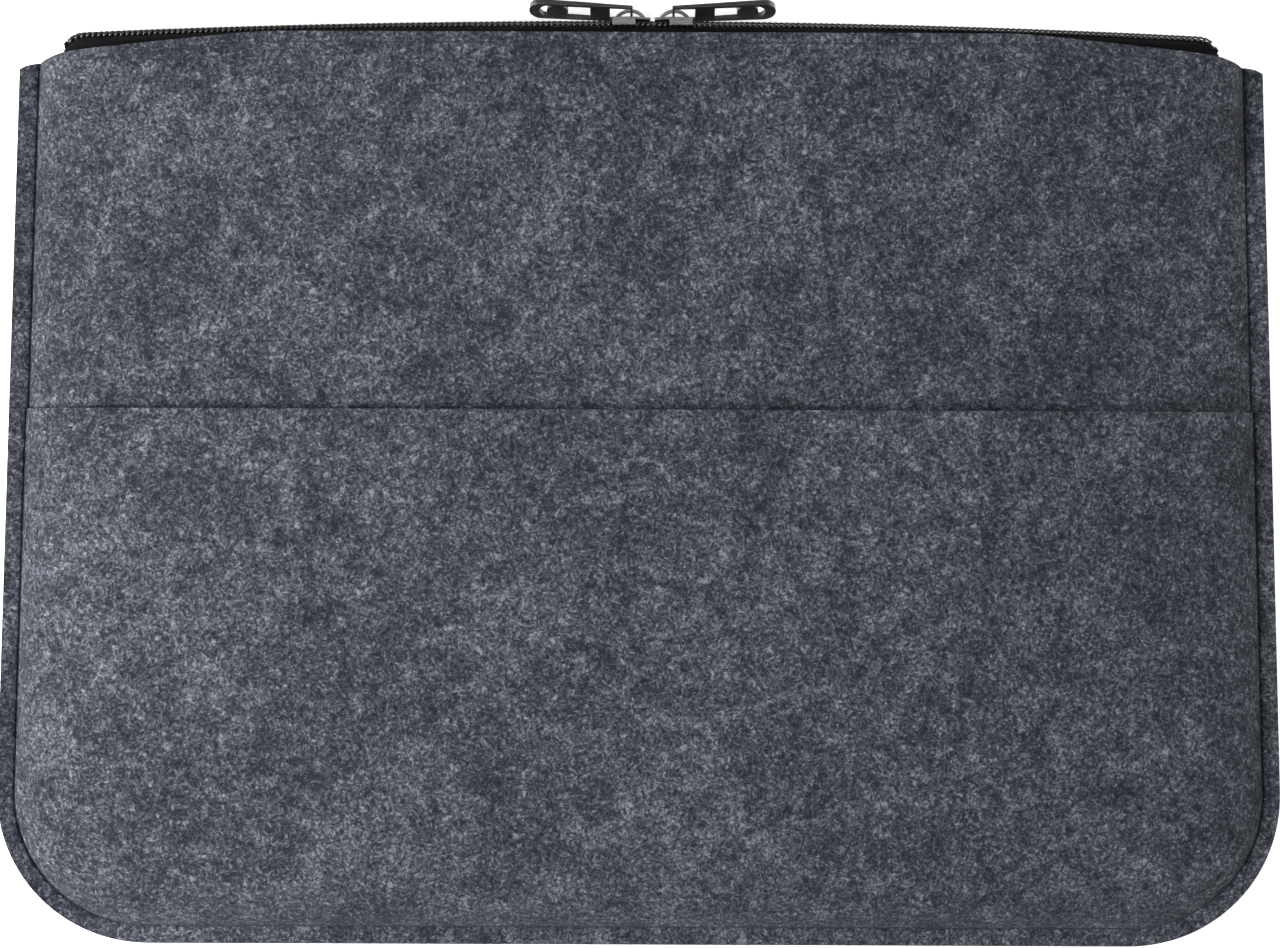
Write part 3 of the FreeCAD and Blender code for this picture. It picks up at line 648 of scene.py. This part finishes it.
# The fold's points in mm: across the mouth, then out of the chain's face.
tape_fold = [(3.2, -0.12), (3.6, -0.4), (4.1, -0.95), (4.5, -1.5), (4.68, -2.6), (4.75, -4.0), (4.75, -8.0)]
roll_reach = 2 * MM          # the fold turns from the chain's slant to upright over this depth
felt_clear = 1.12            # felt thicknesses from the front's outer face down to the tape
tape_steps = 180


def zip_tape(name, side):
    """A tape's middle line across the chain, spun along the chain's arc."""
    line = [(across, 0.0) for across in tape_flat]
    line += [(across * MM, deep * MM) for across, deep in tape_fold]
    line.append((mouth_half - tape_thick / 2, -tape_flap))
    bm = bmesh.new()
    uv = bm.loops.layers.uv.new("weave")
    across_of = bm.verts.layers.float.new("across")
    reached, verts = [0.0], []
    for across, deep in line:
        rolled = math.exp(-(deep / roll_reach) ** 2)
        middle = Vector((0, chain_y, chain_z)) + Vector((0, deep, across * side)).lerp(
            to_front * across * side + out_of_chain * deep, rolled)
        verts.append(bm.verts.new(middle))
    edges = [bm.edges.new(pair) for pair in zip(verts, verts[1:])]
    for edge in edges:
        reached.append(reached[-1] + edge.calc_length())
    half_turn = chain_reach / arc_radius
    bmesh.ops.rotate(bm, verts=verts, cent=arc_centre, matrix=Matrix.Rotation(half_turn, 3, "Z"))
    for vert, distance in zip(verts, reached):
        vert[across_of] = distance
    bmesh.ops.spin(bm, geom=verts + edges, cent=arc_centre, axis=(0, 0, 1), dvec=(0, 0, 0),
                   angle=-2 * half_turn, steps=tape_steps)
    bmesh.ops.recalc_face_normals(bm, faces=bm.faces)
    for face in bm.faces:
        face.smooth = True
        for loop in face.loops:
            spot = loop.vert.co - arc_centre
            loop[uv].uv = (math.atan2(spot.x, spot.y) * arc_radius, loop.vert[across_of])
    for vert in bm.verts:
        spot = vert.co - arc_centre
        vert.co.y -= dive(math.atan2(spot.x, spot.y) * arc_radius)
        covered = min(vert.co.y, zip_edge(vert.co.x) - MM)
        vert.co.z = min(vert.co.z, front_level(vert.co.x, covered) - felt_clear * felt_thick)
    made = piece(name + "_weave", bm, woven_tape, "sleeve")
    depth = made.modifiers.new("thickness", "SOLIDIFY")
    depth.thickness = tape_thick
    depth.offset = 0
    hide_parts(name)
    return made


for name, side in (("zip_tape_front", 1), ("zip_tape_back", -1)):
    zip_tape(name, side)


# ---------------------------------------------------------------- zip seams
# A row of black topstitching holds each tape to its panel, 3 mm below the zip edge. It shows on
# the felt as short dark dashes.

zip_pitch = 3.2 * MM
zip_stitch = {"wide": 0.36 * MM, "thick": 0.3 * MM}
zip_proud = 0.1 * MM         # as front_proud, for this seam
inner_play = 0.12 * MM       # between a tape and the stitches inside the mouth
clear_of_sides = 1.0         # an inset so large that the perimeter seam has no part in it
zip_thread = thread_finish("zip_thread", (0.012, 0.013, 0.018), (0.04, 0.043, 0.054))


def zip_seam(name, edge, level, up):
    """A row along a panel's zip edge. Level gives the surface that the stitches lie on."""
    count = int((chain_half - zip_pitch) / zip_pitch)
    stitches = []
    for index in range(-count, count + 1):
        x = index * zip_pitch
        heading = Vector((zip_pitch, edge(x + zip_pitch / 2) - edge(x - zip_pitch / 2), 0))
        y = edge(x) - zip_seam_inset
        stitches.append((Vector((x, y, level(x, y))), heading, Vector((0, 0, up))))
    made = stitch_row(name, stitches, zip_pitch - seam_gap, zip_thread, **zip_stitch)


zip_seam("zip_seam_front_needle_thread", zip_edge, lambda x, y: front_level(x, y) + zip_proud, 1)
zip_seam("zip_seam_front_bobbin_thread", zip_edge,
         lambda x, y: chain_z + mouth_half - tape_thick - inner_play, -1)
zip_seam("zip_seam_back_needle_thread", back_edge,
         lambda x, y: back_face(x, y, clear_of_sides).z - back_proud, -1)
zip_seam("zip_seam_back_bobbin_thread", back_edge,
         lambda x, y: chain_z - mouth_half + tape_thick + inner_play, 1)


# ---------------------------------------------------------------- zip coils
# Each half of the chain is one long coil of black nylon monofilament, wound round a cord and sewn
# to its tape. The turns of one coil lie between the turns of the other and lock there.

filament = 0.38 * MM
pressed_wide = 1.42          # the turns are pressed wider where they are sewn down
mean_wide = 1.2              # and on the whole by this much
turn_pitch = 1.58 * MM
coil_low, coil_high = 0.12 * MM, 2.05 * MM
coil_near, coil_far = -0.25 * MM, 3.26 * MM
turn_points = 12
first_turn = 0.25            # in turns, from the chain's end
first_stitch = 0.6
turn_round = 0.75            # below 1, a turn's oval is nearer a rectangle with round ends
cord_radius = 0.42 * MM
cord_across = 1.75 * MM      # from the chain's middle line
cord_steps = 120
sewing_radius = 0.29 * MM
sewing_across = 2.5 * MM
sewing_points = 4            # in each turn
sewing_sunk = 0.3 * MM       # below the tops of the turns
sewing_dip = 0.2 * MM        # and this much deeper between two turns


def tube(name, points, radius, material, smooth=1, swell=None):
    """A round filament along a line of points, as a mesh. Swell is its relative size at each."""
    curve = bpy.data.curves.new(name, "CURVE")
    curve.dimensions = "3D"
    curve.bevel_depth = radius
    curve.bevel_resolution = smooth
    curve.use_fill_caps = True
    spline = curve.splines.new("POLY")
    spline.points.add(len(points) - 1)
    for index, (spot, point) in enumerate(zip(spline.points, points)):
        spot.co = (*point, 1)
        spot.radius = swell[index] if swell else 1.0
    holder = bpy.data.objects.new(name + "_line", curve)
    scene.collection.objects.link(holder)
    mesh = bpy.data.meshes.new_from_object(holder)
    bpy.data.objects.remove(holder)
    made = bpy.data.objects.new(name + "_filament", mesh)
    scene.collection.objects.link(made)
    mesh.materials.clear()
    mesh.materials.append(material)
    mesh.polygons.foreach_set("use_smooth", [True] * len(mesh.polygons))
    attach(made, "sleeve")
    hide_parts(name)
    return made


def nylon_finish():
    """Glossy black nylon with faint draw lines and a little dust."""
    material, tree, shader = new_material("black_nylon")
    place = wire(tree, "TexCoord").outputs["Object"]
    lines = wire(tree, "TexNoise", {"Vector": place, "Scale": 2600.0, "Detail": 3.0}).outputs["Fac"]
    tint = wire(tree, "ValToRGB", {"Fac": lines})
    tint.color_ramp.elements[0].color = (0.006, 0.006, 0.007, 1)
    tint.color_ramp.elements[1].color = (0.018, 0.018, 0.021, 1)
    tree.links.new(tint.outputs["Color"], shader.inputs["Base Color"])
    gloss = wire(tree, "MapRange", {"Value": lines, "To Min": 0.26, "To Max": 0.42})
    tree.links.new(gloss.outputs[0], shader.inputs["Roughness"])
    shader.inputs["Specular IOR Level"].default_value = 0.6
    return material


black_nylon = nylon_finish()
cord_tint = thread_finish("coil_cord", (0.010, 0.010, 0.011), (0.03, 0.03, 0.033))
turns = int(2 * chain_reach / turn_pitch)


def rounded(value):
    """Flattens the turn's oval towards a rectangle with round ends."""
    return math.copysign(abs(value) ** turn_round, value)


def zip_coil(name, side):
    """A coil's turns. The back coil is half a turn further on, and lies between the front's turns."""
    points, swell = [], []
    half_high = (coil_high - coil_low) / 2 - filament
    half_deep = (coil_far - coil_near) / 2 - mean_wide * filament
    for index in range(turns * turn_points + 1):
        share = index / turn_points + (0.5 if side < 0 else 0.0)
        angle = 2 * math.pi * index / turn_points
        along = -chain_reach + (share + first_turn) * turn_pitch
        if along > chain_reach - filament:
            break
        across = (coil_far + coil_near) / 2 + half_deep * rounded(math.cos(angle))
        out = (coil_low + coil_high) / 2 + half_high * rounded(math.sin(angle))
        points.append(on_chain(along, out, side * across))
        swell.append(1 + (pressed_wide - 1) * (0.5 + 0.5 * math.cos(angle)))
    tube(f"zip_coil_{name}", points, filament, black_nylon, swell=swell)


def core_cord(name, side):
    """The cord that a coil is wound round."""
    line = []
    for index in range(cord_steps + 1):
        along = chain_reach * (index / (cord_steps / 2) - 1)
        line.append(on_chain(along, (coil_low + coil_high) / 2, side * cord_across))
    tube(f"coil_core_cord_{name}", line, cord_radius, cord_tint, smooth=2)


def coil_stitching(name, side):
    """The chain stitch over a coil, dipping between its turns."""
    sewn = []
    for index in range(sewing_points * (turns - 1) + 1):
        along = -chain_reach + (index / sewing_points + first_stitch) * turn_pitch
        dip = 0.5 - 0.5 * math.cos(2 * math.pi * index / sewing_points)
        out = coil_high - sewing_sunk - sewing_dip * dip
        sewn.append(on_chain(along, out, side * sewing_across))
    tube(f"coil_stitching_{name}", sewn, sewing_radius, cord_tint)


for name, side in (("front", 1), ("back", -1)):
    zip_coil(name, side)
    core_cord(name, side)
    coil_stitching(name, side)


# ---------------------------------------------------------------- zip end tacks
# A bar tack of black thread across each end of the chain holds it shut there. It is three broad
# stitches side by side, over both coils.

tack_long = 0.9 * MM         # along the chain
tack_across = 5.9 * MM
tack_middle = 1.15 * MM      # out of the chain's face
tack_stitch = {"wide": 0.42 * MM, "thick": 1.6 * MM}
for name, side in (("zip_end_tack_left", -1), ("zip_end_tack_right", 1)):
    stitches = []
    for share in (0.2, 0.5, 0.8):
        along = side * (chain_reach - tack_long * share)
        stitches.append((on_chain(along, tack_middle, 0.0), to_front, out_of_chain))
    made = stitch_row(name, stitches, tack_across, zip_thread, **tack_stitch)


# ---------------------------------------------------------------- slider bodies
# Die-cast zinc in one piece, plated dark grey: a top and a bottom plate joined by a post at the
# nose, flanges round the chain, and a bridge for the pull. The two sliders meet nose to nose.

weld = 0.005 * MM
flat_enough = math.radians(2)
sharp_from = math.radians(40)
slider_edge = 0.16 * MM


def cast_copy(node, name, body, material, edge):
    """The frame's own solid with its corners eased as a tumbled casting's are."""
    bm = bmesh.new()
    bm.from_mesh(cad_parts[node].data)
    bmesh.ops.remove_doubles(bm, verts=bm.verts, dist=weld)
    bmesh.ops.dissolve_limit(bm, angle_limit=flat_enough, verts=bm.verts, edges=bm.edges)
    bmesh.ops.recalc_face_normals(bm, faces=bm.faces)
    made = piece(name, bm, material, body)
    eased = made.modifiers.new("eased_edges", "BEVEL")
    eased.width = edge
    eased.segments = 3
    eased.limit_method = "ANGLE"
    eased.angle_limit = sharp_from
    for polygon in made.data.polygons:
        polygon.use_smooth = True
    made.data.set_sharp_from_angle(angle=sharp_from)
    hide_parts(node)
    return made


def plated_finish(name, dark, light, roughness, brushed):
    """Plated zinc, brushed along its length, worn a little lighter here and there."""
    material, tree, shader = new_material(name)
    place = wire(tree, "TexCoord").outputs["Object"]
    stretched = wire(tree, "Mapping", {"Vector": place, "Scale": brushed})
    lines = wire(tree, "TexNoise", {"Vector": stretched.outputs[0], "Scale": 1.0, "Detail": 4.0,
                                    "Roughness": 0.65}).outputs["Fac"]
    tint = wire(tree, "ValToRGB", {"Fac": lines})
    tint.color_ramp.elements[0].position = 0.3
    tint.color_ramp.elements[1].position = 0.7
    tint.color_ramp.elements[0].color = (*dark, 1)
    tint.color_ramp.elements[1].color = (*light, 1)
    tree.links.new(tint.outputs["Color"], shader.inputs["Base Color"])
    gloss = wire(tree, "MapRange", {"Value": lines, "To Min": roughness - 0.08, "To Max": roughness + 0.1})
    tree.links.new(gloss.outputs[0], shader.inputs["Roughness"])
    raised = wire(tree, "Bump", {"Height": lines, "Strength": 0.25, "Distance": 0.03 * MM})
    tree.links.new(raised.outputs[0], shader.inputs["Normal"])
    shader.inputs["Metallic"].default_value = 1.0
    return material


slider_metal = plated_finish("plated_zinc", (0.10, 0.10, 0.105), (0.27, 0.268, 0.27), 0.34,
                             (250.0, 2600.0, 2600.0))
for side in ("left", "right"):
    cast_copy(f"slider_body_{side}", f"slider_casting_{side}", f"slider_{side}", slider_metal,
              slider_edge)


# ---------------------------------------------------------------- pull tabs
# Cast and plated darker than the sliders. Each pull has an eye that hangs on the bridge, a long
# slot, a plain round boss and an open rounded end.

pull_edge = 0.22 * MM
pull_metal = plated_finish("gunmetal", (0.09, 0.09, 0.092), (0.19, 0.19, 0.195), 0.38,
                           (420.0, 2400.0, 2400.0))
for side in ("left", "right"):
    cast_copy(f"pull_tab_{side}", f"pull_{side}", f"pull_{side}", pull_metal, pull_edge)
